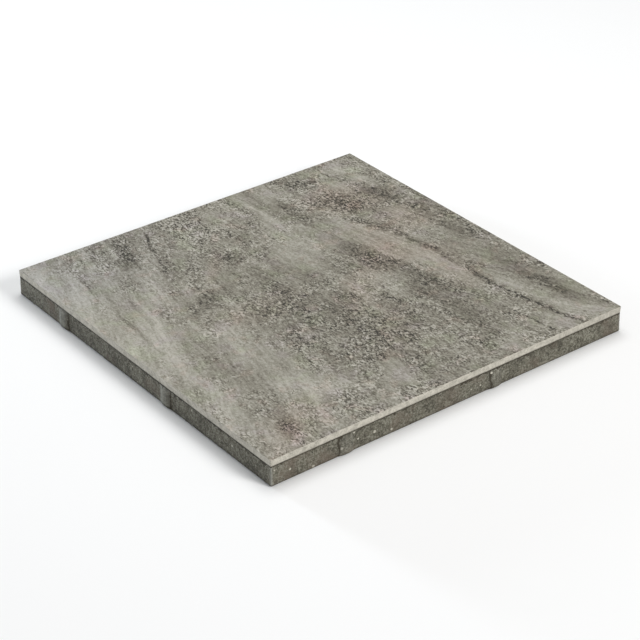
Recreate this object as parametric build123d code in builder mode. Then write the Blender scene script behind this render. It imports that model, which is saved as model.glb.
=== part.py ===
from build123d import *
from math import atan, degrees
import os

# Patio slab, lying flat: a stone-look ceramic tile bonded to a cast concrete base with spacer nibs.
# Millimetres. The origin is the middle of the underside, and +Z goes up through the walking face.

# Whole slab
slab_height = 40.0
face_side = 597.0          # across the walking face
waist_side = 596.2         # across the bond, where the tile and the base are narrowest
bed_side = 598.0           # across the underside

# Tile
tile_thickness = 9.5
tile_corner_radius = 0.8   # in plan, at the bond
tile_arris_radius = 0.8

# Base
base_height = slab_height - tile_thickness
base_corner_radius = 1.2   # in plan, at the underside
bed_arris_radius = 3.0
bond_arris = 0.4           # how far the base's upper arris is eased back under the tile

# Spacer nibs, alike on every side, so that the nibs of neighbouring slabs pass each other
nib_reach = 2.0            # out from the base's wall: side and nib together make the 600 mm module
nib_foot = 28.0
nib_crest = 18.0
nib_places = (-180.5, 68.5)   # from the middle of a side, anticlockwise seen from above
nib_soft_radius = 6.0
nib_run_out = 6.0          # height over which the top of a nib slopes back into the wall

# Worked out from the above
tile_draft = degrees(atan((face_side - waist_side) / 2 / tile_thickness))
base_draft = degrees(atan((bed_side - waist_side) / 2 / base_height))
nib_flank_angle = degrees(atan(nib_reach / ((nib_foot - nib_crest) / 2)))
half_over_nibs = bed_side / 2 + nib_reach
half_bond = waist_side / 2 - bond_arris
shoulder = base_height - nib_run_out * (half_over_nibs - half_bond) / nib_reach
sides = 4

os.makedirs("parts", exist_ok=True)

# Concrete base: its plan with the nibs is drawn at the underside and drafted in towards the bond
with BuildPart() as concrete_base:
    with BuildSketch() as plan:
        Rectangle(bed_side, bed_side)
        fillet(plan.vertices(), base_corner_radius)
        with PolarLocations(bed_side / 2, sides):
            with Locations(*[(0, place) for place in nib_places]):
                Trapezoid(
                    nib_foot, nib_reach, nib_flank_angle,
                    rotation=-90, align=(Align.CENTER, Align.MIN),
                )
        nib_corners = plan.vertices().filter_by(
            lambda corner: min(abs(corner.X), abs(corner.Y)) < bed_side / 2 - nib_foot
        )
        fillet(nib_corners, nib_soft_radius)
    extrude(amount=base_height, taper=base_draft)

    # One slope on each side takes the nibs' tops back into the wall and eases the upper arris
    for side_view in (Plane.XZ, Plane.YZ):
        with BuildSketch(side_view):
            with BuildLine():
                Polyline(
                    (-half_over_nibs, 0), (half_over_nibs, 0), (half_over_nibs, shoulder),
                    (half_bond, base_height), (-half_bond, base_height), (-half_over_nibs, shoulder),
                    close=True,
                )
            make_face()
        extrude(amount=half_over_nibs, both=True, mode=Mode.INTERSECT)

    # The lower arris is rounded all round, nibs included
    fillet(concrete_base.faces().sort_by(Axis.Z)[0].edges(), bed_arris_radius)
concrete_base.part.label = "concrete_base"

# Ceramic tile: its edges lean in from the walking face to the bond, and its upper arris is soft
with BuildPart() as ceramic_tile:
    with BuildSketch(Plane.XY.offset(base_height)):
        RectangleRounded(waist_side, waist_side, tile_corner_radius)
    extrude(amount=tile_thickness, taper=-tile_draft)
    fillet(ceramic_tile.faces().sort_by(Axis.Z)[-1].edges(), tile_arris_radius)
ceramic_tile.part.label = "ceramic_tile"

for piece in (concrete_base.part, ceramic_tile.part):
    export_step(piece, f"parts/{piece.label}.step")
    box = piece.bounding_box().size
    print(f"{piece.label}: {box.X:.1f} x {box.Y:.1f} x {box.Z:.1f} mm, {piece.volume:.0f} mm3")
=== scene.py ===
# %% [markdown]
# # A ceramic patio slab
# This lesson dresses a garden slab: a stone-look porcelain tile bonded to a cast concrete base.
# The CAD model comes in first, as a fixed frame that is never moved, and everything below is measured
# from it. Its box is kept.

# %% Load the frame
from math import cos, pi, radians, sin

import bmesh
import bpy
from mathutils import Matrix, Vector


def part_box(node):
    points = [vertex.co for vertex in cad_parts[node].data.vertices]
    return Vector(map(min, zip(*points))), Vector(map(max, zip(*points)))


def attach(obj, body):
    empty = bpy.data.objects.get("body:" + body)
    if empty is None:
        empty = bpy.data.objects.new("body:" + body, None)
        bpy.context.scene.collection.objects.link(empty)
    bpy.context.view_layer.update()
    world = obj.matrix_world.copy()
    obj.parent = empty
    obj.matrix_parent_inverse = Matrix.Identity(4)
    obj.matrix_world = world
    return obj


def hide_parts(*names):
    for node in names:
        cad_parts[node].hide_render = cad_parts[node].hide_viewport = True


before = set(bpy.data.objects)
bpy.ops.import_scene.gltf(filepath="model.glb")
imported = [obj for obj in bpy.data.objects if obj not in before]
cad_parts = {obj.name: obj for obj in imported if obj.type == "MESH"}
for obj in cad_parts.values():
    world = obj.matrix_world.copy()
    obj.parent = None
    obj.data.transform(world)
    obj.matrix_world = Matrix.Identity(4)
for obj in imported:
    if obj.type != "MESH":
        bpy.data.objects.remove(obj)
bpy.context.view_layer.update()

tile_low, tile_high = (Vector(corner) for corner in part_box("ceramic_tile"))
base_low, base_high = (Vector(corner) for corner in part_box("concrete_base"))
print("CAD nodes", len(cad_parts))
print("tile", tile_low[:], tile_high[:])
print("base", base_low[:], base_high[:])

# %% [markdown]
# ## The camera
# The photograph looks down on one corner of the slab through a long lens, so its sides converge only a
# little. A camera can be aimed with a Track To constraint, but a plain matrix keeps its small roll as
# well: its columns are the directions right, up and back, worked out from an azimuth and an elevation.

# %% Stand the camera
IMAGE_PIXELS = 640
SENSOR_WIDTH = 36.0
FOCAL_PIXELS = 2070.5
CAMERA_AZIMUTH = radians(-37.586)
CAMERA_ELEVATION = radians(31.045)
CAMERA_ROLL = radians(-0.293)
CAMERA_DISTANCE = 2.8769
AIM_RIGHT, AIM_UP = 0.00678, -0.04476

back = Vector((
    sin(CAMERA_AZIMUTH) * cos(CAMERA_ELEVATION),
    -cos(CAMERA_AZIMUTH) * cos(CAMERA_ELEVATION),
    sin(CAMERA_ELEVATION),
))
level_right = Vector((cos(CAMERA_AZIMUTH), sin(CAMERA_AZIMUTH), 0))
level_up = back.cross(level_right)
right = level_right * cos(CAMERA_ROLL) + level_up * sin(CAMERA_ROLL)
up = level_up * cos(CAMERA_ROLL) - level_right * sin(CAMERA_ROLL)

lens = bpy.data.cameras.new("photo_lens")
lens.sensor_width = SENSOR_WIDTH
lens.lens = FOCAL_PIXELS / IMAGE_PIXELS * SENSOR_WIDTH
camera = bpy.data.objects.new("photo_camera", lens)
bpy.context.collection.objects.link(camera)
face_middle = Vector((0, 0, tile_high.z))
stand = face_middle + back * CAMERA_DISTANCE + right * AIM_RIGHT + up * AIM_UP
camera.matrix_world = Matrix.Translation(stand) @ Matrix((right, up, back)).transposed().to_4x4()
bpy.context.scene.camera = camera
print("camera at", stand[:], "lens", lens.lens)

# %% [markdown]
# ## The tile's face
# The tile is pressed porcelain: a flat face with a very shallow stone relief, a soft arris, and edges
# that lean in towards the bond. A scaled cube would leave nothing to shape the relief with, so the face
# starts as a fine grid, smaller than the tile by the arris all round.

# %% Start the tile as a grid
FACE_CELLS = 220
ARRIS_RADIUS = 0.0008

flat_half = tile_high.x - ARRIS_RADIUS
bpy.ops.object.select_all(action="DESELECT")
bpy.ops.mesh.primitive_grid_add(
    x_subdivisions=FACE_CELLS, y_subdivisions=FACE_CELLS, size=2 * flat_half, location=(0, 0, tile_high.z)
)
tile = bpy.context.object
tile.name = "stone_look_tile"
bpy.ops.object.transform_apply(location=True, rotation=True, scale=True)
print("face cells", len(tile.data.polygons))

# %% [markdown]
# ## The tile's edges
# A bevel could round the arris once the edges were there. Extruding the rim in small turns does both: it
# rolls the arris over and carries the edges down to the bond. Operators act on whatever is selected, so
# a helper first opens this piece alone in edit mode.

# %% Roll the rim over and down
ARRIS_STEPS = 4
EDGE_LEAN = radians(2.4)
BOND_HALF = 0.2981


def edit(piece):
    """Select this piece alone and open it in edit mode."""
    bpy.ops.object.select_all(action="DESELECT")
    piece.select_set(True)
    bpy.context.view_layer.objects.active = piece
    bpy.ops.object.mode_set(mode="EDIT")


edit(tile)
bpy.ops.mesh.select_mode(type="EDGE")
bpy.ops.mesh.select_all(action="SELECT")
bpy.ops.mesh.region_to_loop()
turns = [(pi / 2 + EDGE_LEAN) * step / ARRIS_STEPS for step in range(1, ARRIS_STEPS + 1)]
rim = [
    (flat_half + ARRIS_RADIUS * sin(turn), tile_high.z - ARRIS_RADIUS * (1 - cos(turn)))
    for turn in turns
]
rim.append((BOND_HALF, tile_low.z))
last_half, last_z = flat_half, tile_high.z
for half, z in rim:
    bpy.ops.mesh.extrude_region_move(TRANSFORM_OT_translate={"value": (0, 0, z - last_z)})
    grow = half / last_half
    bpy.ops.transform.resize(value=(grow, grow, 1), center_override=(0, 0, z))
    last_half, last_z = half, z
bpy.ops.mesh.edge_face_add()
print("the rim ends", last_half, "from the middle at height", last_z)

# %% [markdown]
# ## The tile's corners
# The upright corners of a pressed tile are slightly round as well. Their short edges are picked in code,
# by where they are: both ends lie in one of the two upright planes through the slab's corners. A bevel
# then rounds all four at once.

# %% Round the tile's corners
TILE_CORNER = 0.001
CORNER_SEGMENTS = 4
LONGEST_CORNER_EDGE = 0.1
SAME_PLACE = 1e-6


def pick(piece, kind, wanted):
    """In edit mode, select only the VERT, EDGE or FACE items for which wanted(item) is true."""
    bpy.ops.mesh.select_mode(type=kind)
    bpy.ops.mesh.select_all(action="DESELECT")
    mesh = bmesh.from_edit_mesh(piece.data)
    items = {"VERT": mesh.verts, "EDGE": mesh.edges, "FACE": mesh.faces}[kind]
    count = 0
    for item in items:
        if wanted(item):
            item.select_set(True)
            count += 1
    mesh.select_flush_mode()
    bmesh.update_edit_mesh(piece.data)
    return count


def on_corner(edge):
    """True for a short edge in one of the two upright planes through the slab's corners."""
    in_plane = all(abs(abs(v.co.x) - abs(v.co.y)) < SAME_PLACE for v in edge.verts)
    return in_plane and edge.calc_length() < LONGEST_CORNER_EDGE


corner_edges = pick(tile, "EDGE", on_corner)
bpy.ops.mesh.bevel(offset=TILE_CORNER, segments=CORNER_SEGMENTS, affect="EDGES")
bpy.ops.mesh.select_all(action="SELECT")
bpy.ops.mesh.normals_make_consistent(inside=False)
bpy.ops.object.mode_set(mode="OBJECT")
print("tile: corner edges", corner_edges, "faces", len(tile.data.polygons))

# %% [markdown]
# ## The stone relief
# The face was pressed with shallow clefts, half a millimetre deep at most, which catch low light. They
# could be sculpted, or left to bump in the material. A Displace modifier with a procedural texture makes
# them real and the same on each run. Its mid level of 1 presses inwards only, so the tile never outgrows
# its box, and a vertex group holds the relief back from the arris.

# %% Press the stone relief into the tile's face
RELIEF_MARGIN = 0.012
RELIEF_DEPTH = 0.0005
CLEFT_SIZE = 0.045
CLEFT_DETAIL = 4
ON_THE_FACE = 1e-5
SMOOTH_ANGLE = radians(40)


def ramp_up(value, start, end):
    """0 below start, 1 above end, and straight in between."""
    return min(max((value - start) / (end - start), 0.0), 1.0)


def weigh(piece, name, weight_at):
    """Make a vertex group whose weight at each vertex is weight_at(place)."""
    group = piece.vertex_groups.new(name=name)
    for vertex in piece.data.vertices:
        group.add([vertex.index], weight_at(vertex.co), "REPLACE")


def carve(piece, group, texture, depth):
    """Press a procedural texture into the piece along its normals, never outwards, and apply it."""
    press = piece.modifiers.new("carve", "DISPLACE")
    press.texture = texture
    press.texture_coords = "LOCAL"
    press.vertex_group = group
    press.mid_level = 1.0
    press.strength = depth
    bpy.context.view_layer.objects.active = piece
    bpy.ops.object.modifier_apply(modifier=press.name)


def face_weight(place):
    """0 on the edges and at the arris, rising to 1 inside the margin of the face."""
    inside = min(tile_high.x - abs(place.x), tile_high.y - abs(place.y))
    return ramp_up(inside, ARRIS_RADIUS, RELIEF_MARGIN) if place.z > tile_high.z - ON_THE_FACE else 0.0


clefts = bpy.data.textures.new("clefts", "CLOUDS")
clefts.noise_scale = CLEFT_SIZE
clefts.noise_depth = CLEFT_DETAIL
weigh(tile, "face", face_weight)
carve(tile, "face", clefts, RELIEF_DEPTH)
bpy.ops.object.shade_smooth_by_angle(angle=SMOOTH_ANGLE)
inner = [v.co.z for v in tile.data.vertices if max(abs(v.co.x), abs(v.co.y)) < flat_half / 2]
print("deepest cleft", tile_high.z - min(inner))

# %% [markdown]
# ## The base's block
# The base is cast in a mould, so its walls spread a little towards the bed. It starts as a cube, and its
# top is drawn in to the size of the bond. Bevels then give it its arrises and corners while it is still
# coarse, because a bevel wider than a cell would fold over itself. The lower arris comes first and the
# corners last, so that each corner's bevel runs on through both arrises.

# %% Shape the base from a cube
NIB_REACH = 0.002
BASE_CORNER = 0.0012
BED_ARRIS = 0.003
BED_SEGMENTS = 4
BOND_ARRIS = 0.001
FACING_UP = 0.9

wall_half = base_high.x - NIB_REACH
height = base_high.z - base_low.z
bpy.ops.object.select_all(action="DESELECT")
bpy.ops.mesh.primitive_cube_add(
    size=1, location=(0, 0, height / 2), scale=(2 * wall_half, 2 * wall_half, height)
)
base = bpy.context.object
base.name = "cast_base"
bpy.ops.object.transform_apply(location=True, rotation=True, scale=True)

edit(base)
draw_in = BOND_HALF / wall_half
pick(base, "FACE", lambda face: face.normal.z > FACING_UP)
bpy.ops.transform.resize(value=(draw_in, draw_in, 1), center_override=(0, 0, height))
pick(base, "EDGE", lambda edge: all(v.co.z < SAME_PLACE for v in edge.verts))
bpy.ops.mesh.bevel(offset=BED_ARRIS, segments=BED_SEGMENTS, affect="EDGES")
pick(base, "EDGE", lambda edge: all(v.co.z > height - SAME_PLACE for v in edge.verts))
bpy.ops.mesh.bevel(offset=BOND_ARRIS, segments=1, affect="EDGES")
corner_edges = pick(base, "EDGE", on_corner)
bpy.ops.mesh.bevel(offset=BASE_CORNER, segments=CORNER_SEGMENTS, affect="EDGES")
print("base: corner edges", corner_edges)

# %% [markdown]
# ## Cells for the walls
# The nibs and the rough casting need a fine mesh, but only on the walls. So the two big flat faces come
# off first. The long edges are subdivided in two goes, because one go makes at most a hundred cuts, and
# the upright ones come last.

# %% Cut the walls into cells
FLAT = 0.99
WALL_PANELS = 5
WALL_CELL = 0.0015

pick(base, "FACE", lambda face: abs(face.normal.z) > FLAT)
bpy.ops.mesh.delete(type="ONLY_FACE")
pick(base, "EDGE", lambda edge: edge.calc_length() > wall_half)
bpy.ops.mesh.subdivide(number_cuts=WALL_PANELS - 1)
pick(base, "EDGE", lambda edge: edge.calc_length() > wall_half / WALL_PANELS)
bpy.ops.mesh.subdivide(number_cuts=round(2 * wall_half / WALL_PANELS / WALL_CELL) - 1)
pick(base, "EDGE", lambda edge: abs(edge.verts[0].co.z - edge.verts[1].co.z) > height / 2)
bpy.ops.mesh.subdivide(number_cuts=round(height / WALL_CELL) - 1)
bpy.ops.object.mode_set(mode="OBJECT")
print("base walls: faces", len(base.data.polygons))

# %% [markdown]
# ## The spacer nibs
# Each side carries two cast nibs that keep the next slab a joint away. Going round the slab they sit at
# the same places on every side, so the nibs of two neighbours pass each other. They could be separate
# blocks joined on, but pulling a crest out of the wall with proportional editing gives the soft flanks
# and the top that runs out under the tile, all in one move.

# %% Pull out the nibs
NIB_PLACES = (-0.1805, 0.0685)
NIB_CREST = 0.008
NIB_FLANK = 0.0105
NIB_SHOULDER = 0.022
SIDES = 4

edit(base)
for side in range(SIDES):
    turn = Matrix.Rotation(side * 2 * pi / SIDES, 3, "Z")
    outward = turn @ Vector((1, 0, 0))
    along = turn @ Vector((0, 1, 0))
    for nib_place in NIB_PLACES:
        on_crest = pick(
            base, "VERT",
            lambda v: v.co.dot(outward) > wall_half - 2 * BED_ARRIS and v.co.z < NIB_SHOULDER
            and abs(v.co.dot(along) - nib_place) < NIB_CREST / 2,
        )
        bpy.ops.transform.translate(
            value=outward * NIB_REACH, use_proportional_edit=True,
            proportional_edit_falloff="SMOOTH", proportional_size=NIB_FLANK,
        )
print("vertices on the last crest", on_crest)

# %% [markdown]
# ## The underside and the bond face
# The block is closed again with one face at each end, drawn across the open boundary. Smooth shading
# would drag the round arris's light across so wide a face, so an inset gives each a narrow flat rim
# that stops it.

# %% Close the base
FLAT_RIM = 0.001
AT_LEVEL = 1e-5


def at_level(edge, level):
    """True for an open edge that lies at this height."""
    return edge.is_boundary and all(abs(v.co.z - level) < AT_LEVEL for v in edge.verts)


for level in (base_low.z, base_high.z):
    boundary = pick(base, "EDGE", lambda edge: at_level(edge, level))
    bpy.ops.mesh.edge_face_add()
    bpy.ops.mesh.inset(thickness=FLAT_RIM)
    print("closed", boundary, "edges at height", level)
bpy.ops.mesh.select_all(action="SELECT")
bpy.ops.mesh.normals_make_consistent(inside=False)
bpy.ops.object.mode_set(mode="OBJECT")

# %% [markdown]
# ## The rough casting
# Cast concrete is never as flat as its mould: its skin has shallow hollows a few millimetres across. The
# same carving as on the tile makes them, with a finer texture, and fades out at the bed and at the bond
# so that the base's outline stays true there.

# %% Roughen the cast walls
WALL_MARGIN = 0.003
WALL_ROUGHNESS = 0.0005
HOLLOW_SIZE = 0.007
HOLLOW_DETAIL = 3


def wall_weight(place):
    """0 at the bed and at the bond, rising to 1 inside the margin of the wall."""
    return min(ramp_up(place.z, 0.0, WALL_MARGIN), ramp_up(base_high.z - place.z, 0.0, WALL_MARGIN))


casting = bpy.data.textures.new("casting", "CLOUDS")
casting.noise_scale = HOLLOW_SIZE
casting.noise_depth = HOLLOW_DETAIL
weigh(base, "walls", wall_weight)
carve(base, "walls", casting, WALL_ROUGHNESS)
bpy.ops.object.shade_smooth_by_angle(angle=SMOOTH_ANGLE)
print("base: faces", len(base.data.polygons))

# %% [markdown]
# ## On the frame
# Both pieces are where the CAD says already. What is left is to say which body each one moves with and
# which CAD node it stands for, and to hide that node.

# %% Put both pieces on the frame
for piece, node, slot in ((tile, "ceramic_tile", "tile"), (base, "concrete_base", "base")):
    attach(piece, "root")
    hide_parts(node)
    print(piece.name, "stands for", node)

# %% [markdown]
# ## Nodes from code
# Every finish below is a tree of shader nodes, which the editor lets you add and wire by hand. Here one
# helper adds a node, sets it up and wires its inputs, and two more do the same for the many small sums.

# %% Add and wire a node
def add(tree, kind, inputs=None, **settings):
    """Add a node, set its properties, then set or link its inputs, which go by name or number."""
    made = tree.nodes.new("ShaderNode" + kind)
    for name, value in settings.items():
        setattr(made, name, value)
    for name, value in (inputs or {}).items():
        if isinstance(value, bpy.types.NodeSocket):
            tree.links.new(value, made.inputs[name])
        else:
            made.inputs[name].default_value = value
    return made


def calculate(tree, operation, *values, clamp=False):
    """A Math node's result."""
    return add(tree, "Math", dict(enumerate(values)), operation=operation, use_clamp=clamp).outputs[0]


def times(tree, one, other):
    """One value times another."""
    return calculate(tree, "MULTIPLY", one, other)


# %% [markdown]
# ## Wandering edges
# The finishes share three effects. Each is a node group with named inputs, made once and placed wherever
# it is needed, with values of its own. The first makes edges wander: noise pushes the coordinates about
# before anything is drawn on them.

# %% A node group that makes coordinates wander
NOISE_MIDDLE = (0.5, 0.5, 0.5)
PUSH_GAIN = 4.0    # noise stays near its middle, so the push is raised to reach about as far as it says


def new_group(name, inputs, outputs):
    """An empty shader node group with these named sockets, and its inner inputs and outputs."""
    group = bpy.data.node_groups.new(name, "ShaderNodeTree")
    for label, kind, default in inputs:
        socket = group.interface.new_socket(label, in_out="INPUT", socket_type="NodeSocket" + kind)
        if default is not None:
            socket.default_value = default
    for label, kind in outputs:
        group.interface.new_socket(label, in_out="OUTPUT", socket_type="NodeSocket" + kind)
    return group, group.nodes.new("NodeGroupInput").outputs, group.nodes.new("NodeGroupOutput").inputs


def make_wander():
    group, given, out = new_group(
        "wander", [("Place", "Vector", None), ("Grain", "Float", 50.0), ("Reach", "Float", 10.0)],
        [("Place", "Vector")],
    )
    scale = calculate(group, "DIVIDE", 1.0, given["Grain"])
    push = add(group, "TexNoise", {
        "Vector": given["Place"], "Scale": scale, "Detail": 3.0, "Roughness": 0.6,
    })
    centred = add(group, "VectorMath", {0: push.outputs["Color"], 1: NOISE_MIDDLE}, operation="SUBTRACT")
    gain = times(group, given["Reach"], PUSH_GAIN)
    sized = add(group, "VectorMath", {0: centred.outputs[0], "Scale": gain}, operation="SCALE")
    moved = add(group, "VectorMath", {0: given["Place"], 1: sized.outputs[0]}, operation="ADD")
    group.links.new(moved.outputs[0], out["Place"])
    return group


wander = make_wander()
print("wander nodes", len(wander.nodes))

# %% [markdown]
# ## Gritty speckle
# The second shared effect is grit. Noise alone looks like clouds at any size, so each small Voronoi cell
# adds a flat shade of its own, which gives crumbs with edges. The sum is stretched to its contrast and
# cut off, deeper on the dark side, because grit has more deep pits than bright tips.

# %% A node group for speckle
CRUMB_SHARE = 0.5
SPECKLE_MIDDLE = 0.75    # the mean of noise plus crumbs
BRIGHTEST, DARKEST = 1.2, -1.7


def make_speckle():
    group, given, out = new_group(
        "speckle", [("Place", "Vector", None), ("Grain", "Float", 4.0), ("Contrast", "Float", 3.0)],
        [("Speckle", "Float")],
    )
    scale = calculate(group, "DIVIDE", 1.0, given["Grain"])
    lumps = add(group, "TexNoise", {
        "Vector": given["Place"], "Scale": scale, "Detail": 2.0, "Roughness": 0.65,
    })
    finer = times(group, scale, 2.0)
    crumbs = add(group, "TexVoronoi", {"Vector": given["Place"], "Scale": finer}, feature="F1")
    shade = add(group, "SeparateColor", {"Color": crumbs.outputs["Color"]}).outputs["Red"]
    both = calculate(group, "MULTIPLY_ADD", shade, CRUMB_SHARE, lumps.outputs["Fac"])
    centred = calculate(group, "SUBTRACT", both, SPECKLE_MIDDLE)
    strong = times(group, centred, given["Contrast"])
    high = calculate(group, "MINIMUM", strong, BRIGHTEST)
    group.links.new(calculate(group, "MAXIMUM", high, DARKEST), out["Speckle"])
    return group


speckle = make_speckle()
print("speckle nodes", len(speckle.nodes))

# %% [markdown]
# ## Scattered grains
# The third is single grains, such as pebbles in concrete or specks in a fired body. They could be
# scattered as little objects, but they lie flush with the surface. So they are the middles of Voronoi
# cells, of which only a share is kept, each at a size of its own.

# %% A node group for scattered grains
SMALLEST_GRAIN = 0.5    # of the size given
GRAIN_CORE = 0.6        # of a grain's own radius


def spread(tree, value, low, high, to_low=0.0, to_high=1.0, curve="SMOOTHSTEP"):
    """A Map Range: low to high becomes to_low to to_high, and no further."""
    return add(tree, "MapRange", {
        "Value": value, "From Min": low, "From Max": high, "To Min": to_low, "To Max": to_high,
    }, interpolation_type=curve).outputs["Result"]


def make_grains():
    group, given, out = new_group(
        "grains",
        [("Place", "Vector", None), ("Spacing", "Float", 8.0), ("Size", "Float", 0.3),
         ("Share", "Float", 0.3)],
        [("Grains", "Float")],
    )
    scale = calculate(group, "DIVIDE", 1.0, given["Spacing"])
    cells = add(group, "TexVoronoi", {"Vector": given["Place"], "Scale": scale}, feature="F1")
    channels = add(group, "SeparateColor", {"Color": cells.outputs["Color"]}).outputs
    kept = calculate(group, "LESS_THAN", channels["Red"], given["Share"])
    own_size = spread(group, channels["Green"], 0, 1, SMALLEST_GRAIN, 1.0)
    radius = times(group, given["Size"], own_size)
    core = times(group, radius, GRAIN_CORE)
    inside = spread(group, cells.outputs["Distance"], core, radius, 1.0, 0.0)
    group.links.new(times(group, inside, kept), out["Grains"])
    return group


grains = make_grains()
print("grains nodes", len(grains.nodes))

# %% [markdown]
# ## The stone print's marks
# The walking face carries a printed stone: grey-beige beds that run along the slab, pale smooth tongues,
# thin dark seams and gritty darker ground. Noise alone gives clouds, but no beds in the right places. So
# each larger mark is a streak: a long soft lens with a middle, a half width and length, a lean and a
# bend. It takes x and y as single numbers, because a hundred vectors would be too many for one shader.

# %% A node group for one streak
def make_streak():
    group, given, out = new_group(
        "streak",
        [("X", "Float", None), ("Y", "Float", None), ("Middle X", "Float", 0.0), ("Middle Y", "Float", 0.0),
         ("Half Width", "Float", 10.0), ("Half Length", "Float", 50.0), ("Lean", "Float", 0.0),
         ("Bend", "Float", 0.0), ("Softness", "Float", 0.5)],
        [("Mask", "Float")],
    )
    from_x = calculate(group, "SUBTRACT", given["X"], given["Middle X"])
    from_y = calculate(group, "SUBTRACT", given["Y"], given["Middle Y"])
    along_it = calculate(group, "DIVIDE", from_y, given["Half Length"])
    along_squared = times(group, along_it, along_it)
    leaning = times(group, from_y, given["Lean"])
    straight = calculate(group, "SUBTRACT", from_x, leaning)
    bending = times(group, along_squared, given["Bend"])
    unbent = calculate(group, "SUBTRACT", straight, bending)
    across = calculate(group, "DIVIDE", unbent, given["Half Width"])
    across_squared = times(group, across, across)
    blunt = times(group, along_squared, along_squared)
    away = calculate(group, "SQRT", calculate(group, "ADD", across_squared, blunt))
    full = calculate(group, "SUBTRACT", 1.0, given["Softness"])
    gone = calculate(group, "ADD", 1.0, given["Softness"])
    group.links.new(spread(group, away, full, gone, 1.0, 0.0), out["Mask"])
    return group


streak = make_streak()
print("streak nodes", len(streak.nodes))

# %% [markdown]
# ## Where the marks are
# Each line below is one mark, placed in millimetres from the middle of the face. Pale smooth
# tongues lose their grit, pale gritty ones keep it, and dark marks are seams, stains and gritty ground.
# Rust only warms the colour. Calm and coarse places change the grit and nothing else.

# %% The beds, tongues and seams of this print
# Middle x, middle y, half width, half length, lean, bend, softness, strength
PALE_SMOOTH = [
    (-243, 30, 19, 70, 0.22, 0, 0.55, 0.42),
    (-268, -150, 10, 110, 0.05, 0, 0.70, 0.32),
    (-287, 110, 26, 200, 0.04, 0, 0.80, 0.45),
    (168, 15, 21, 128, -0.22, 0, 0.40, 0.44),
    (238, -210, 17, 110, -0.17, 0, 0.45, 0.35),
    (276, -290, 15, 40, -0.10, 0, 0.60, 0.36),
    (206, -286, 14, 34, -0.10, 0, 0.55, 0.34),
    (-45, -238, 13, 36, 0.15, 0, 0.60, 0.45),
    (72, 235, 9, 58, 0.00, 0, 0.70, 0.45),
    (252, 226, 14, 12, 0.00, 0, 0.70, 0.50),
    (213, 222, 12, 16, 0.00, 0, 0.70, 0.42),
    (232, 105, 13, 18, -0.20, 0, 0.70, 0.42),
]
PALE_GRITTY = [
    (-270, -60, 120, 330, 0.00, 0, 0.90, 0.31),
    (-95, -255, 34, 45, 0.00, 0, 0.90, 0.24),
    (-165, -55, 28, 75, 0.05, 0, 0.85, 0.45),
    (-160, -188, 30, 40, -0.50, 0, 0.85, 0.52),
    (50, 125, 34, 70, 0.10, 0, 0.85, 0.45),
    (58, -34, 20, 36, 0.10, 0, 0.85, 0.35),
    (92, -50, 12, 34, 0.00, 0, 0.85, 0.35),
    (258, 266, 34, 20, -0.50, 0, 0.90, 0.45),
    (132, 262, 22, 38, -0.30, 0, 0.90, 0.48),
    (130, -282, 20, 26, 0.00, 0, 0.90, 0.35),
    (238, 66, 24, 40, -0.20, 0, 0.90, 0.32),
    (-180, 128, 12, 58, 0.35, 0, 0.85, 0.42),
    (15, 250, 26, 40, 0.10, 0, 0.90, 0.28),
    (-55, 205, 14, 36, 0.20, 0, 0.90, 0.25),
    (-240, -165, 8, 40, 0.10, 0, 0.85, 0.35),
    (165, 146, 10, 22, -0.30, 0, 0.85, 0.40),
    (-214, 250, 3, 30, 0.25, 0, 0.70, 0.50),
    (38, 90, 28, 45, 0.20, 0, 0.85, 0.08),
    (285, 155, 12, 30, 0.00, 0, 0.80, 0.40),
]
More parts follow.
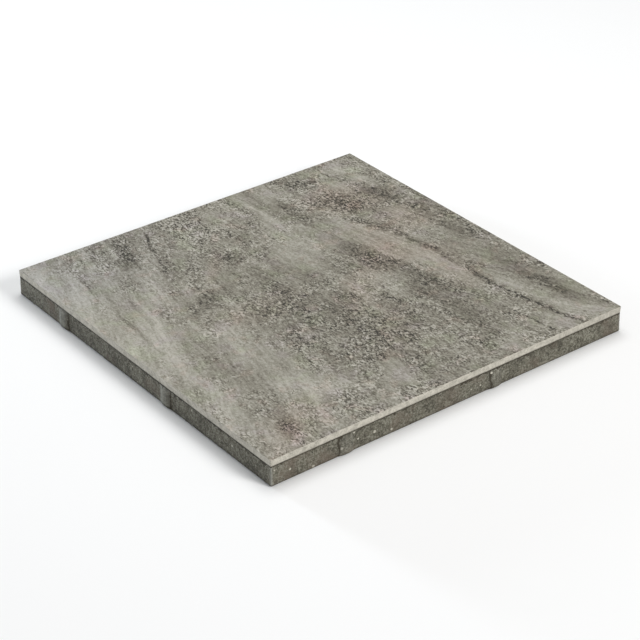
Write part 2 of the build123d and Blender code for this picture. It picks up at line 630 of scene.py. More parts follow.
DARK = [
    (-152, 245, 16, 42, 0.42, 0, 0.80, 0.85),
    (-116, 228, 2.2, 62, 0.35, 0, 0.70, 0.85),
    (-130, 180, 9, 16, 0.30, 0, 0.85, 0.40),
    (-145, 60, 28, 21, 1.00, 0, 0.85, 0.74),
    (-42, 139, 17, 15, 0.00, 0, 0.85, 0.54),
    (-95, 160, 30, 24, 0.80, 0, 0.90, 0.30),
    (5, 180, 16, 24, 0.00, 0, 0.90, 0.32),
    (-218, -140, 14, 105, 0.22, 0, 0.90, 0.40),
    (-257, 78, 3, 95, 0.16, 8, 0.75, 0.45),
    (-20, -80, 110, 130, 0.00, 0, 0.90, 0.17),
    (18, -48, 12, 24, 0.00, 0, 0.85, 0.32),
    (-45, 35, 18, 66, 0.12, 0, 0.85, 0.42),
    (-95, -75, 10, 90, 0.02, 0, 0.85, 0.28),
    (-62, -50, 9, 60, 0.05, 0, 0.80, 0.32),
    (-12, -118, 14, 72, 0.05, 0, 0.80, 0.50),
    (22, -140, 10, 50, 0.00, 0, 0.80, 0.40),
    (52, -150, 10, 36, -0.05, 0, 0.80, 0.28),
    (86, -128, 7, 52, -0.35, 0, 0.80, 0.50),
    (113, 190, 8, 46, 0.05, 0, 0.75, 0.58),
    (116, 24, 18, 46, -0.15, 0, 0.85, 0.66),
    (122, -92, 24, 25, -0.10, 0, 0.80, 0.55),
    (152, -95, 8, 80, -0.20, 0, 0.80, 0.45),
    (128, -170, 16, 52, -0.10, 0, 0.90, 0.45),
    (203, -35, 4, 125, -0.05, -5, 0.75, 0.66),
    (217, -228, 2.2, 80, -0.17, 0, 0.70, 1.00),
    (203, -138, 9, 42, 0.00, 0, 0.85, 0.36),
    (263, -156, 11, 72, -0.10, 0, 0.85, 0.66),
    (267, -170, 6, 11, 0.00, 0, 0.80, 0.35),
    (184, 178, 17, 36, -0.10, 0, 0.80, 0.80),
    (213, 172, 12, 20, 0.00, 0, 0.85, 0.35),
    (174, 108, 9, 32, -0.30, 0, 0.85, 0.45),
    (187, 84, 12, 10, 0.00, 0, 0.85, 0.40),
    (251, 164, 20, 30, -0.20, 0, 0.85, 0.76),
    (168, 270, 18, 24, -0.40, 0, 0.85, 0.74),
    (281, 60, 16, 95, 0.00, 0, 0.90, 0.45),
    (-238, -254, 13, 22, 0.15, 0, 0.80, 0.85),
    (-212, -262, 7, 12, 0.00, 0, 0.85, 0.35),
    (-140, -254, 16, 24, 0.00, 0, 0.90, 0.30),
    (-27, -226, 6, 22, 0.20, 0, 0.85, 0.30),
    (-45, -197, 13, 8, 0.00, 0, 0.85, 0.35),
    (92, -236, 10, 40, 0.00, 0, 0.85, 0.35),
    (180, -240, 1.9, 64, -0.13, 0, 0.70, 0.80),
    (-199, 70, 10, 28, 0.20, 0, 0.85, 0.48),
    (-165, 14, 16, 22, 0.00, 0, 0.90, 0.32),
    (6, -156, 8, 18, 0.00, 0, 0.90, 0.35),
    (205, -112, 10, 22, -0.10, 0, 0.85, 0.45),
    (-195, 265, 6, 24, 0.30, 0, 0.85, 0.40),
    (15, 130, 10, 16, 0.00, 0, 0.90, 0.35),
    (-195, 170, 8, 20, 0.30, 0, 0.90, 0.35),
    (254, 96, 18, 24, 0.00, 0, 0.90, 0.32),
    (36, -52, 8, 17, 0.00, 0, 0.85, 0.40),
    (283, 278, 12, 16, 0.00, 0, 0.85, 0.40),
    (-128, 108, 10, 18, 0.30, 0, 0.90, 0.30),
]
RUST = [
    (195, 180, 45, 45, -0.3, 0, 0.90, 0.9),
    (235, 85, 40, 40, 0.0, 0, 0.90, 0.7),
    (165, 40, 30, 70, -0.2, 0, 0.90, 0.6),
    (130, 15, 35, 40, 0.0, 0, 0.90, 0.7),
    (45, -45, 30, 50, 0.8, 0, 0.90, 0.6),
    (-78, 133, 10, 36, 0.75, 0, 0.90, 0.6),
    (-230, -255, 40, 45, 0.8, 0, 0.90, 0.7),
    (-237, -256, 14, 20, 0.2, 0, 0.90, 0.8),
    (195, -70, 28, 60, 0.3, 0, 0.90, 0.5),
    (20, -150, 30, 55, 0.6, 0, 0.90, 0.4),
    (-95, 0, 60, 30, 0.0, 0, 0.90, 0.4),
]
CALM = [
    (112, 90, 22, 60, -0.10, 0, 0.90, 0.60),
    (-15, 65, 40, 40, 0.30, 0, 0.90, 0.35),
    (100, 235, 14, 55, 0.00, 0, 0.90, 0.45),
    (-15, -50, 40, 25, 0.00, 0, 0.90, 0.30),
    (135, -150, 28, 40, 0.00, 0, 0.90, 0.45),
    (122, -222, 16, 26, 0.00, 0, 0.90, 0.35),
    (238, -50, 30, 60, -0.20, 0, 0.90, 0.50),
    (-218, -70, 20, 90, 0.10, 0, 0.90, 0.50),
    (-238, 140, 14, 40, 0.20, 0, 0.90, 0.40),
    (-82, 92, 20, 34, 0.60, 0, 0.90, 0.50),
    (263, -140, 15, 70, -0.12, 0, 0.90, 0.55),
    (130, -75, 20, 36, 0.00, 0, 0.90, 0.40),
    (268, 15, 14, 40, 0.00, 0, 0.90, 0.50),
    (248, 168, 18, 26, -0.20, 0, 0.90, 0.40),
    (-168, 58, 24, 24, 0.60, 0, 0.90, 0.30),
    (-170, 205, 14, 24, 0.20, 0, 0.90, 0.40),
    (20, 48, 22, 22, 0.00, 0, 0.90, 0.35),
    (268, -235, 14, 50, -0.10, 0, 0.90, 0.40),
    (-165, -128, 27, 68, 0.00, 0, 0.80, 0.50),
    (36, 88, 28, 48, 0.20, 0, 0.85, 0.45),
    (-205, 140, 38, 70, 0.20, 0, 0.90, 0.30),
]
COARSE = [
    (-42, 250, 24, 45, 0.00, 0, 0.90, 0.70),
    (142, 215, 18, 30, 0.00, 0, 0.90, 0.50),
    (204, 180, 34, 30, 0.00, 0, 0.90, 0.28),
    (-138, -255, 16, 28, 0.00, 0, 0.90, 0.32),
    (-35, -160, 28, 34, 0.00, 0, 0.90, 0.40),
]
print("streaks", sum(len(group) for group in (PALE_SMOOTH, PALE_GRITTY, DARK, RUST, CALM, COARSE)))

# %% [markdown]
# ## Beds and veins
# Between the marks the stone has finer layers, from broad beds down to hairlines, and noise is right for
# these. It is measured in millimetres, so the Object coordinates, which are metres, go through a Mapping
# node first. Drawing the noise out along y turns clouds into beds.

# %% Draw the beds and veins
BED_GATHER = 0.0012    # the beds draw together towards the back by this much for each millimetre
BED_STRETCH = 0.14
WIDE_CUT, NARROW_CUT = 0.2, 0.18


def new_finish(name):
    """An empty material with a Principled BSDF; returns the material, its tree and that shader."""
    material = bpy.data.materials.new(name)
    material.use_nodes = True
    return material, material.node_tree, material.node_tree.nodes["Principled BSDF"]


def millimetres(tree, scale=(1, 1, 1)):
    """Object coordinates in millimetres, stretched by scale."""
    place = add(tree, "TexCoord").outputs["Object"]
    return add(tree, "Mapping", {"Vector": place, "Scale": [1000 * s for s in scale]}).outputs["Vector"]


def use(tree, group, **inputs):
    """Place a node group in a tree; an input's name is written with _ for its spaces."""
    named = {name.replace("_", " "): value for name, value in inputs.items()}
    return add(tree, "Group", named, node_tree=group).outputs


def noise(tree, place, grain, detail=3.0, roughness=0.5):
    """Noise whose lumps are about grain millimetres across."""
    return add(tree, "TexNoise", {
        "Vector": place, "Scale": 1 / grain, "Detail": detail, "Roughness": roughness,
    }).outputs["Fac"]


def swing(tree, place, grain, detail, roughness, cut):
    """Noise that swings from -1 to 1, cut off this far from its middle."""
    lumps = noise(tree, place, grain, detail, roughness)
    return spread(tree, lumps, 0.5 - cut, 0.5 + cut, -1.0, 1.0, "LINEAR")


stone_print, stone, stone_shader = new_finish("stone print")
stone_place = millimetres(stone)
broad = use(stone, wander, Place=stone_place, Grain=80.0, Reach=6.0)["Place"]
ragged = use(stone, wander, Place=broad, Grain=14.0, Reach=2.2)["Place"]
ragged_axes = add(stone, "SeparateXYZ", {0: ragged}).outputs
broad_axes = add(stone, "SeparateXYZ", {0: broad}).outputs
gather = calculate(stone, "MULTIPLY_ADD", broad_axes["Y"], BED_GATHER, 1.0)
across_beds = times(stone, broad_axes["X"], gather)
drawn_out = times(stone, broad_axes["Y"], BED_STRETCH)
along_beds = add(stone, "CombineXYZ", {"X": across_beds, "Y": drawn_out}).outputs[0]
beds = swing(stone, along_beds, 26.0, 2.0, 0.5, WIDE_CUT)
wisps = swing(stone, along_beds, 8.0, 3.0, 0.6, WIDE_CUT)
patches = swing(stone, ragged, 34.0, 3.0, 0.6, NARROW_CUT)
crumbs = swing(stone, ragged, 8.5, 2.0, 0.6, WIDE_CUT)
clusters = swing(stone, ragged, 12.0, 2.0, 0.5, NARROW_CUT)
swirled = use(stone, wander, Place=along_beds, Grain=11.0, Reach=1.6)["Place"]
hairlines = swing(stone, swirled, 3.6, 2.0, 0.55, NARROW_CUT)
print("nodes for beds and veins", len(stone.nodes))

# %% [markdown]
# ## The stone's tone
# The tone says how light or dark the stone is at each place, before any grit. It is a plain sum: pale
# marks add to it, dark ones take away, and the beds, wisps and hairlines ripple it. The marks are drawn
# on the ragged coordinates, so that their edges fray.

# %% Add up the tone
MARK_STRENGTH = 1.5
BED_STRENGTH = 0.45
WISP_STRENGTH = 0.45
HAIRLINE_STRENGTH = 0.3


def lay_streaks(tree, axes, streaks):
    """Add up streaks, each (middle x, y, half width, half length, lean, bend, softness, strength)."""
    total = None
    for x, y, half_width, half_length, lean, bend, softness, strength in streaks:
        mask = use(
            tree, streak, X=axes["X"], Y=axes["Y"], Middle_X=x, Middle_Y=y, Half_Width=half_width,
            Half_Length=half_length, Lean=lean, Bend=bend, Softness=softness,
        )["Mask"]
        total = calculate(tree, "MULTIPLY_ADD", mask, strength, total if total else 0.0)
    return total


smooth = lay_streaks(stone, ragged_axes, PALE_SMOOTH)
gritty = lay_streaks(stone, ragged_axes, PALE_GRITTY)
dark = lay_streaks(stone, ragged_axes, DARK)
marks = calculate(stone, "SUBTRACT", calculate(stone, "ADD", smooth, gritty), dark)
tone = times(stone, marks, MARK_STRENGTH)
for veins, strength in ((beds, BED_STRENGTH), (wisps, WISP_STRENGTH), (hairlines, HAIRLINE_STRENGTH)):
    tone = calculate(stone, "MULTIPLY_ADD", veins, strength, tone)
print("nodes with the marks", len(stone.nodes))

# %% [markdown]
# ## The stone's grit
# The print is gritty as sandstone is, but not evenly: the grit is coarse in the dark ground, comes in
# patches and clusters, and is faint in the smooth tongues. So a second sum says how coarse it is at each
# place, and that sets how deep the speckle cuts into the tone. The speckle is drawn out along the beds.

# %% Strew the grit
DARK_IS_COARSE = -0.3
PATCH_STRENGTH = 0.4
CLUSTER_STRENGTH = 0.25
SMOOTH_IS_FINE = -0.9
FINEST, COARSEST = -0.6, 0.68
GRIT_STRETCH = (1.2, 0.66, 1)
CRUMB_STRENGTH = 0.4
FAINT_GRIT, DEEP_GRIT = 0.45, 2.15

coarse = times(stone, tone, DARK_IS_COARSE)
for cause, strength in ((patches, PATCH_STRENGTH), (clusters, CLUSTER_STRENGTH), (smooth, SMOOTH_IS_FINE)):
    coarse = calculate(stone, "MULTIPLY_ADD", cause, strength, coarse)
coarse = calculate(stone, "ADD", coarse, lay_streaks(stone, ragged_axes, COARSE))
coarse = calculate(stone, "SUBTRACT", coarse, lay_streaks(stone, ragged_axes, CALM))
coarse = spread(stone, coarse, FINEST, COARSEST, 0.0, 1.0)
grit_place = millimetres(stone, GRIT_STRETCH)
stone_grit = use(stone, speckle, Place=grit_place, Grain=3.7, Contrast=3.9)["Speckle"]
rough_grit = calculate(stone, "MULTIPLY_ADD", crumbs, CRUMB_STRENGTH, stone_grit)
grit_depth = spread(stone, coarse, 0.0, 1.0, FAINT_GRIT, DEEP_GRIT, "LINEAR")
toned = calculate(stone, "MULTIPLY_ADD", rough_grit, grit_depth, tone)
print("nodes with the grit", len(stone.nodes))

# %% [markdown]
# ## The stone's colours
# One Color Ramp turns the tone into five greys of the stone, from the pits to the palest tongue. Over it
# lie faint casts: rust, a cool corner that is partly the print's own and partly painted cool light, and
# mossy and violet patches. Mixing towards a flat colour would wash the grit out, so each cast multiplies
# the colour instead, which keeps light and dark as they are.

# %% Colour the stone
DARKEST_TONE, PALEST_TONE = -2.4, 2.2
RUST_STRENGTH = 0.62
RUST_CAST = (1.08, 0.935, 0.915, 1)
COOL_CAST = (1.02, 1.04, 1.12, 1)
MOSSY_CAST = (0.955, 1.0, 0.92, 1)
VIOLET_CAST = (1.02, 0.99, 1.05, 1)


def printed(red, green, blue):
    """A colour as a paint program shows it, 0 to 255, as the linear colour that a shader needs."""
    def linear(c):
        return c / 12.92 if c <= 0.04045 else ((c + 0.055) / 1.055) ** 2.4
    return [linear(c / 255) for c in (red, green, blue)] + [1.0]


def ramp(tree, value, stops):
    """A Color Ramp with these (position, colour) stops."""
    made = add(tree, "ValToRGB", {"Fac": value})
    points = made.color_ramp.elements
    while len(points) < len(stops):
        points.new(0.5)
    for point, (position, colour) in zip(points, stops):
        point.position = position
    for point, (position, colour) in zip(points, stops):
        point.color = colour
    return made.outputs["Color"]


def tint(tree, amount, colour, tinted, blend="MIX"):
    """Mix a colour with another by a mask."""
    mix = add(tree, "Mix", data_type="RGBA", blend_type=blend)
    sockets = [socket for socket in mix.inputs if socket.enabled]
    for socket, value in zip(sockets, (amount, colour, tinted)):
        if isinstance(value, bpy.types.NodeSocket):
            tree.links.new(value, socket)
        else:
            socket.default_value = value
    return next(socket for socket in mix.outputs if socket.enabled)


level = spread(stone, toned, DARKEST_TONE, PALEST_TONE, 0.0, 1.0, "LINEAR")
stone_colour = ramp(stone, level, [
    (0.0, printed(44, 41, 33)),
    (0.3, printed(96, 91, 79)),
    (0.52, printed(127, 123, 110)),
    (0.72, printed(151, 148, 136)),
    (1.0, printed(181, 177, 166)),
])
scattered = spread(stone, noise(stone, ragged, 24.0, 2.0, 0.5), 0.56, 0.72, 0.0, 0.7)
rust = calculate(stone, "ADD", lay_streaks(stone, ragged_axes, RUST), scattered)
rusty = calculate(stone, "MULTIPLY", rust, RUST_STRENGTH, clamp=True)
# The cool corner at the back left is partly a cooler tone of the print and partly painted cool light, paler
# and bluer there.
cool_corner_print_and_light = use(
    stone, streak, X=broad_axes["X"], Y=broad_axes["Y"], Middle_X=-300.0, Middle_Y=300.0,
    Half_Width=170.0, Half_Length=150.0, Softness=0.95,
)["Mask"]
mossy = spread(stone, noise(stone, broad, 38.0, 2.0, 0.5), 0.5, 0.72)
violet = spread(stone, noise(stone, broad, 29.0, 2.0, 0.5), 0.52, 0.7)
casts = ((rusty, RUST_CAST), (cool_corner_print_and_light, COOL_CAST), (mossy, MOSSY_CAST), (violet, VIOLET_CAST))
for mask, cast in casts:
    stone_colour = tint(stone, mask, stone_colour, cast, "MULTIPLY")
stone.links.new(stone_colour, stone_shader.inputs["Base Color"])
print("nodes with the colours", len(stone.nodes))

# %% [markdown]
# ## The stone's touch
# Outdoor tiles are matt and slightly rough to the foot. The grit's pits are the roughest, and its bright
# tips shine a little more. A fine bump, under a millimetre deep, stands for the pressed grain, which is
# too small for the mesh.

# %% Roughen the stone
PIT_ROUGHNESS, TIP_ROUGHNESS = 0.72, 0.52
STONE_GRAIN = 3.2
STONE_BUMP = 0.0006


def roughen(tree, shader, height_map, strength, distance):
    """Give the shader a Bump node on this height."""
    bump = add(tree, "Bump", {"Height": height_map, "Strength": strength, "Distance": distance})
    tree.links.new(bump.outputs["Normal"], shader.inputs["Normal"])


gloss = spread(stone, stone_grit, -1.0, 1.0, PIT_ROUGHNESS, TIP_ROUGHNESS, "LINEAR")
stone.links.new(gloss, stone_shader.inputs["Roughness"])
roughen(stone, stone_shader, noise(stone, stone_place, STONE_GRAIN, 3.0, 0.65), 0.4, STONE_BUMP)
print("stone print nodes", len(stone.nodes))

# %% [markdown]
# ## The porcelain body
# The tile's edges show its fired body: pale, warm and dense, with faint clouds, a few grey specks and a
# darker line where the body meets the bond, and painted shade darkens it towards one end. It needs no
# streaks, only noise, speckle and grains, and two fades by place.

# %% Make the porcelain body
BODY_PALE = printed(193, 188, 175)
BODY_DULL = printed(140, 136, 124)
BODY_SPECK = printed(110, 106, 96)
BODY_BUMP = 0.0004
BOND_LINE = (30.5, 32.5)    # the heights between which the darker line fades out
# Painted shade: between these x the body is darkened towards its +x end.
SHADED_END = (100.0, 300.0)   # the x between which the body gets duller

porcelain, body, body_shader = new_finish("porcelain body")
body_place = millimetres(body)
body_clouds = noise(body, body_place, 9.0, 4.0, 0.65)
body_grit = use(body, speckle, Place=body_place, Grain=3.0, Contrast=4.0)["Speckle"]
mottle = calculate(body, "MULTIPLY_ADD", body_grit, 0.1, body_clouds)
body_colour = ramp(body, mottle, [(0.2, BODY_DULL), (0.62, BODY_PALE)])
specks = use(body, grains, Place=body_place, Spacing=4.0, Size=0.26, Share=0.22)["Grains"]
body_colour = tint(body, times(body, specks, 0.5), body_colour, BODY_SPECK)
body_axes = add(body, "SeparateXYZ", {0: body_place}).outputs
body_colour = tint(body, spread(body, body_axes["Z"], *BOND_LINE, 0.6, 0.0), body_colour, BODY_SPECK)
# Painted shade towards the +x end of the body.
body_colour = tint(body, spread(body, body_axes["X"], *SHADED_END, 0.0, 0.28), body_colour, BODY_DULL)
body.links.new(body_colour, body_shader.inputs["Base Color"])
body.links.new(spread(body, body_clouds, 0.3, 0.7, 0.6, 0.75), body_shader.inputs["Roughness"])
roughen(body, body_shader, noise(body, body_place, 1.6, 3.0, 0.6), 0.35, BODY_BUMP)
print("porcelain nodes", len(body.nodes))

# %% [markdown]
# ## The concrete's sides
# The base is a fine dry concrete. Some of its marks belong to its sides: painted shade darkens the crease
# beside each nib, handling rubs the crests and corners paler, and a painted highlight lightens the crests
# of the x sides. They could be painted into an image, but the slab repeats itself round its middle. So the
# material works out how far along its own side each place is, anticlockwise, and one pair of bands then
# finds the nibs of all four sides.

# %% Find the sides
WALL_FADE = (290.0, 296.0)    # from the middle: marks of the walls stay off the underside

concrete, cast, cast_shader = new_finish("cast concrete")
cast_place = millimetres(cast)
cast_axes = add(cast, "SeparateXYZ", {0: cast_place}).outputs
from_middle = [calculate(cast, "ABSOLUTE", cast_axes[axis]) for axis in "XY"]
along_x_side = times(cast, calculate(cast, "SIGN", cast_axes["X"]), cast_axes["Y"])
along_y_side = times(cast, calculate(cast, "SIGN", cast_axes["Y"]), cast_axes["X"])
on_x_side = calculate(cast, "GREATER_THAN", *from_middle)
on_y_side = calculate(cast, "SUBTRACT", 1.0, on_x_side)
on_x_only = times(cast, along_x_side, on_x_side)
on_y_only = times(cast, along_y_side, on_y_side)
along_side = calculate(cast, "SUBTRACT", on_x_only, on_y_only)
on_wall = spread(cast, calculate(cast, "MAXIMUM", *from_middle), *WALL_FADE, 0.0, 1.0)
print("nodes for the sides", len(cast.nodes))

# %% [markdown]
# ## The nibs' marks
# A cast nib has a crest that handling rubs paler, and on the x sides a painted highlight lightens it
# further.
# A thin crooked line of painted shade lies in the crease where it meets the wall, on the side turned from
# the light.
# Distances along the side give both: the crest is a wide band, and the crease is a thin dark core in a soft
# halo, pushed to and fro by noise.

# %% Mark the crests and creases
# The creases are painted shade: each lies on the side of its nib turned from the light, which is the other
# side on the x sides than on the y sides.
NIB_CREASES = ((12.0, -12.0), (12.0, -8.2))    # from a nib's middle, on the x sides and on the y sides
CREASE_WIGGLE = 2.0
CREST_BAND = (9.0, 13.0)
CREASE_CORE, CORE_SHADE = (0.8, 2.4), 0.92
CREASE_HALO, HALO_SHADE = (2.0, 7.0), 0.25
CREST_RUB, X_SIDE_HIGHLIGHT = 0.1, 0.24

lumps = noise(cast, cast_place, 8.0, 3.0, 0.6)
wiggle = spread(cast, lumps, 0.3, 0.7, -CREASE_WIGGLE, CREASE_WIGGLE, "LINEAR")
worn_and_lit_crests, crease_shade = 0.0, 0.0
for nib_place, (x_crease, y_crease) in zip(NIB_PLACES, NIB_CREASES):
    from_nib = calculate(cast, "SUBTRACT", along_side, nib_place * 1000)
    off_nib = calculate(cast, "ABSOLUTE", from_nib)
    worn_and_lit_crests = calculate(cast, "MAXIMUM", worn_and_lit_crests, spread(cast, off_nib, *CREST_BAND, 1.0, 0.0))
    crease_at = calculate(cast, "MULTIPLY_ADD", on_x_side, x_crease - y_crease, y_crease)
    past_crease = calculate(cast, "SUBTRACT", from_nib, crease_at)
    off_crease = calculate(cast, "ABSOLUTE", calculate(cast, "ADD", past_crease, wiggle))
    crease_shade = calculate(cast, "MAXIMUM", crease_shade, spread(cast, off_crease, *CREASE_CORE, CORE_SHADE, 0.0))
    crease_shade = calculate(cast, "MAXIMUM", crease_shade, spread(cast, off_crease, *CREASE_HALO, HALO_SHADE, 0.0))
crease_shade = times(cast, crease_shade, on_wall)
# Every crest is rubbed a little paler by handling, and the crests of the x sides carry a painted highlight
# on top of that wear.
crest_rub_and_highlight = calculate(cast, "MULTIPLY_ADD", on_x_side, X_SIDE_HIGHLIGHT, CREST_RUB)
worn_and_lit_crests = times(cast, times(cast, worn_and_lit_crests, crest_rub_and_highlight), on_wall)
print("nodes with the nibs", len(cast.nodes))

# %% [markdown]
# ## Cement, stains and pores
# The concrete itself is olive grey and gritty, with darker blotches, upright marks where the mould was
# drawn off, brownish stains, pale grains of aggregate and open pores. Each of these is one mask, laid
# over the last as it would be seen.

# %% Mix the cement
CEMENT_DARK = printed(66, 63, 53)
CEMENT_MIDDLE = printed(102, 99, 86)
CEMENT_PALE = printed(134, 132, 119)
STAIN = printed(104, 92, 80)
AGGREGATE = printed(186, 182, 168)
PORE = printed(46, 44, 38)
DRAWN_UPRIGHT = (1, 1, 0.12)

cast_clouds = noise(cast, cast_place, 26.0, 4.0, 0.6)
drawn = noise(cast, millimetres(cast, DRAWN_UPRIGHT), 5.0, 3.0, 0.6)
cast_grit = use(cast, speckle, Place=cast_place, Grain=3.2, Contrast=4.0)["Speckle"]
cast_tone = calculate(cast, "MULTIPLY_ADD", drawn, 0.55, times(cast, cast_clouds, 0.8))
cast_tone = calculate(cast, "MULTIPLY_ADD", cast_grit, 0.24, cast_tone)
blotches = spread(cast, noise(cast, cast_place, 14.0, 4.0, 0.65), 0.5, 0.62, 0.0, 0.2)
cast_tone = calculate(cast, "SUBTRACT", cast_tone, blotches)
cast_colour = ramp(cast, cast_tone, [(0.3, CEMENT_DARK), (0.68, CEMENT_MIDDLE), (1.0, CEMENT_PALE)])
stained = spread(cast, noise(cast, cast_place, 45.0, 3.0, 0.5), 0.5, 0.72, 0.0, 0.6)
cast_colour = tint(cast, stained, cast_colour, STAIN)
stones = use(cast, grains, Place=cast_place, Spacing=9.0, Size=0.3, Share=0.1)["Grains"]
cast_colour = tint(cast, times(cast, stones, 0.85), cast_colour, AGGREGATE)
pores = use(cast, grains, Place=cast_place, Spacing=5.2, Size=0.3, Share=0.2)["Grains"]
cast_colour = tint(cast, times(cast, pores, 0.8), cast_colour, PORE)
print("nodes with the cement", len(cast.nodes))

# %% [markdown]
# ## Single stones
# A few pale stones on the front wall are large enough to be seen one by one. Scattered grains would fall
# anywhere, so these are listed: each is the distance from a point on the wall, on coordinates
# that wander a little, so that no stone is quite round.

# %% Place the stones of the front wall
FRONT_WALL = -290.0
# X, height and radius of each stone
FRONT_STONES = [
    (61.5, 25.5, 1.8),
    (43, 13.5, 1.1),
    (27, 13, 1.0),
    (-168, 27, 1.4),
    (-162, 15, 1.3),
    (-292.5, 23, 1.2),
    (-269, 15, 1.6),
]
STONE_CORE, STONE_RIM = 0.7, 1.2

uneven = use(cast, wander, Place=cast_place, Grain=3.0, Reach=0.35)["Place"]
uneven_axes = add(cast, "SeparateXYZ", {0: uneven}).outputs
on_front = add(cast, "CombineXYZ", {"X": uneven_axes["X"], "Z": uneven_axes["Z"]}).outputs[0]
front_stones = 0.0
for stone_x, stone_z, radius in FRONT_STONES:
    centre = (stone_x, 0.0, stone_z)
    away = add(cast, "VectorMath", {0: on_front, 1: centre}, operation="DISTANCE").outputs["Value"]
    shows = spread(cast, away, STONE_CORE * radius, STONE_RIM * radius, 1.0, 0.0)
    front_stones = calculate(cast, "MAXIMUM", front_stones, shows)
in_front = calculate(cast, "LESS_THAN", cast_axes["Y"], FRONT_WALL)
front_stones = times(cast, front_stones, in_front)
print("stones placed", len(FRONT_STONES))

# %% [markdown]
# ## Wear and painted shade
# Handling has rubbed the upright corners and the nibs' crests paler, and the crests of the x sides also
# carry a painted highlight. Painted shade darkens the creases, an uneven line under the tile, and the foot
# along the bed. The order matters, because each layer covers the one before: wear and highlight, the
# painted shade of the creases, the single stones, and last the painted shade under the tile and along the
# bed.

# %% Rub the corners and paint the shade
# The pale of worn corners and crests, which also serves as the painted highlight on the crests of the x
# sides.
RUBBED_AND_LIT = printed(146, 146, 139)
# The colour of all painted shade on the concrete: in the creases, under the tile and along the bed.
PAINTED_SHADE_COLOUR = printed(50, 44, 31)
CORNER_BAND, CORNER_RUB = (294.5, 298.0), 0.75
SHADE_SAG = 4.0
UNDER_TILE = (28.0, 29.8)
BOND_SHADE = (0.5, 0.95)
BED_BAND = (0.8, 5.0)
BED_SHADE, X_SIDE_BED_SHADE = 0.62, 0.3

corners = spread(cast, calculate(cast, "MINIMUM", *from_middle), *CORNER_BAND, 0.0, CORNER_RUB)
# Corners are rubbed paler; crests are rubbed paler too, and on the x sides also carry a painted highlight.
cast_colour = tint(cast, calculate(cast, "MAXIMUM", corners, worn_and_lit_crests), cast_colour, RUBBED_AND_LIT)
cast_colour = tint(cast, crease_shade, cast_colour, PAINTED_SHADE_COLOUR)
cast_colour = tint(cast, front_stones, cast_colour, AGGREGATE)
# Painted shadow under the tile: an uneven dark line just below the tile, where the tile shades the base's
# top arris.
sag = spread(cast, noise(cast, cast_place, 6.0, 3.0, 0.6), 0.42, 0.7, 0.0, SHADE_SAG)
sagging = calculate(cast, "ADD", cast_axes["Z"], sag)
bond_shade_depth = spread(cast, noise(cast, cast_place, 26.0, 2.0, 0.5), 0.38, 0.58, *BOND_SHADE)
shade_under_tile = times(cast, spread(cast, sagging, *UNDER_TILE, 0.0, 1.0), bond_shade_depth)
# Painted shade along the bed: the foot of each wall and its lower arris are darkened, more on the x sides.
bed_shade_depth = calculate(cast, "MULTIPLY_ADD", on_x_side, X_SIDE_BED_SHADE, BED_SHADE)
shade_at_bed = times(cast, spread(cast, cast_axes["Z"], *BED_BAND, 1.0, 0.0), bed_shade_depth)
shade_at_bed = times(cast, shade_at_bed, on_wall)
cast_colour = tint(cast, calculate(cast, "MAXIMUM", shade_under_tile, shade_at_bed), cast_colour, PAINTED_SHADE_COLOUR)
cast.links.new(cast_colour, cast_shader.inputs["Base Color"])
print("nodes with wear and dirt", len(cast.nodes))

# %% [markdown]
# ## The concrete's touch
# Dry concrete is dull all over, and a little less so on its bright grains. Its bump is deeper than the
# tile's and sinks at each pore, so that the pores read as holes and not as paint.

# %% Roughen the concrete
DULL, LESS_DULL = 0.95, 0.75
PORE_SINK = -0.6
CAST_BUMP = 0.0009

dullness = spread(cast, cast_grit, -1.0, 1.0, DULL, LESS_DULL, "LINEAR")
cast.links.new(dullness, cast_shader.inputs["Roughness"])
pitted = calculate(cast, "MULTIPLY_ADD", pores, PORE_SINK, noise(cast, cast_place, 2.2, 4.0, 0.65))
roughen(cast, cast_shader, pitted, 0.7, CAST_BUMP)
print("concrete nodes", len(cast.nodes))

# %% [markdown]
# ## Finishes on the pieces
# The base takes one material. The tile takes two: the print covers the face and the upper part of the
# arris, and the fired body shows below. The faces are told apart by how far they look upwards.

# %% Give the pieces their finishes
PRINT_TURN = 0.6

for piece, finish in ((tile, stone_print), (tile, porcelain), (base, concrete)):
    piece.data.materials.append(finish)
for face in tile.data.polygons:
    face.material_index = 0 if face.normal.z > PRINT_TURN else 1
print("printed faces", sum(1 for face in tile.data.polygons if face.material_index == 0))

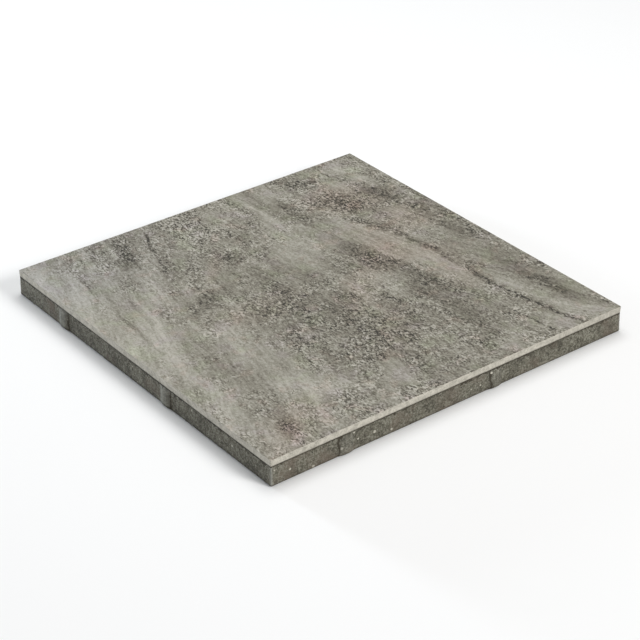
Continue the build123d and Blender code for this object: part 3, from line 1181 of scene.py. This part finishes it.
# %% [markdown]
# ## The floor
# The slab lies on a plain pale floor, which is a stage and no part of it. A plane is enough, and it is
# large, so that its edge stays out of every view.

# %% Lay the floor
FLOOR_SIZE = 40
FLOOR_COLOUR = (0.9, 0.9, 0.895, 1)
FLOOR_ROUGHNESS = 0.9

bpy.ops.object.select_all(action="DESELECT")
bpy.ops.mesh.primitive_plane_add(size=FLOOR_SIZE, location=(0, 0, 0))
floor = bpy.context.object
floor.name = "floor"
pale_floor, _, floor_shader = new_finish("pale floor")
floor_shader.inputs["Base Color"].default_value = FLOOR_COLOUR
floor_shader.inputs["Roughness"].default_value = FLOOR_ROUGHNESS
floor.data.materials.append(pale_floor)
print("floor", floor.dimensions[:])

# %% [markdown]
# ## The light
# The light is that of a plain studio: one large soft lamp from the front right, a weaker one overhead and
# a low cool one from the back left, with an even white world to fill the shadows. A sun would draw hard
# shadows, so each lamp is a disc. The Standard view transform shows colours as they are mixed.

# %% Hang the lights
# Name, place, size, watts, colour
SOFT_LIGHTS = [
    ("front", (1.9, -5.6, 3.9), 2.4, 296, (1, 1, 1)),
    ("overhead", (0.4, 0.6, 3.0), 2.4, 47, (1, 1, 1)),
    ("left_cool", (-0.8, 3.5, 0.36), 0.6, 105, (0.8, 0.9, 1.0)),
]
WORLD_COLOUR = (1, 1, 1, 1)
WORLD_STRENGTH = 0.32

for name, place, size, watts, colour in SOFT_LIGHTS:
    light = bpy.data.lights.new(name, "AREA")
    light.shape = "DISK"
    light.size = size
    light.energy = watts
    light.color = colour
    lamp = bpy.data.objects.new(name, light)
    bpy.context.collection.objects.link(lamp)
    lamp.location = place
    lamp.rotation_euler = (Vector(place) * -1).to_track_quat("-Z", "Y").to_euler()
    lamp.visible_camera = False

world = bpy.data.worlds.new("studio")
world.use_nodes = True
world.node_tree.nodes["Background"].inputs["Color"].default_value = WORLD_COLOUR
world.node_tree.nodes["Background"].inputs["Strength"].default_value = WORLD_STRENGTH
bpy.context.scene.world = world
bpy.context.scene.view_settings.view_transform = "Standard"
print("lights", [name for name, *rest in SOFT_LIGHTS])
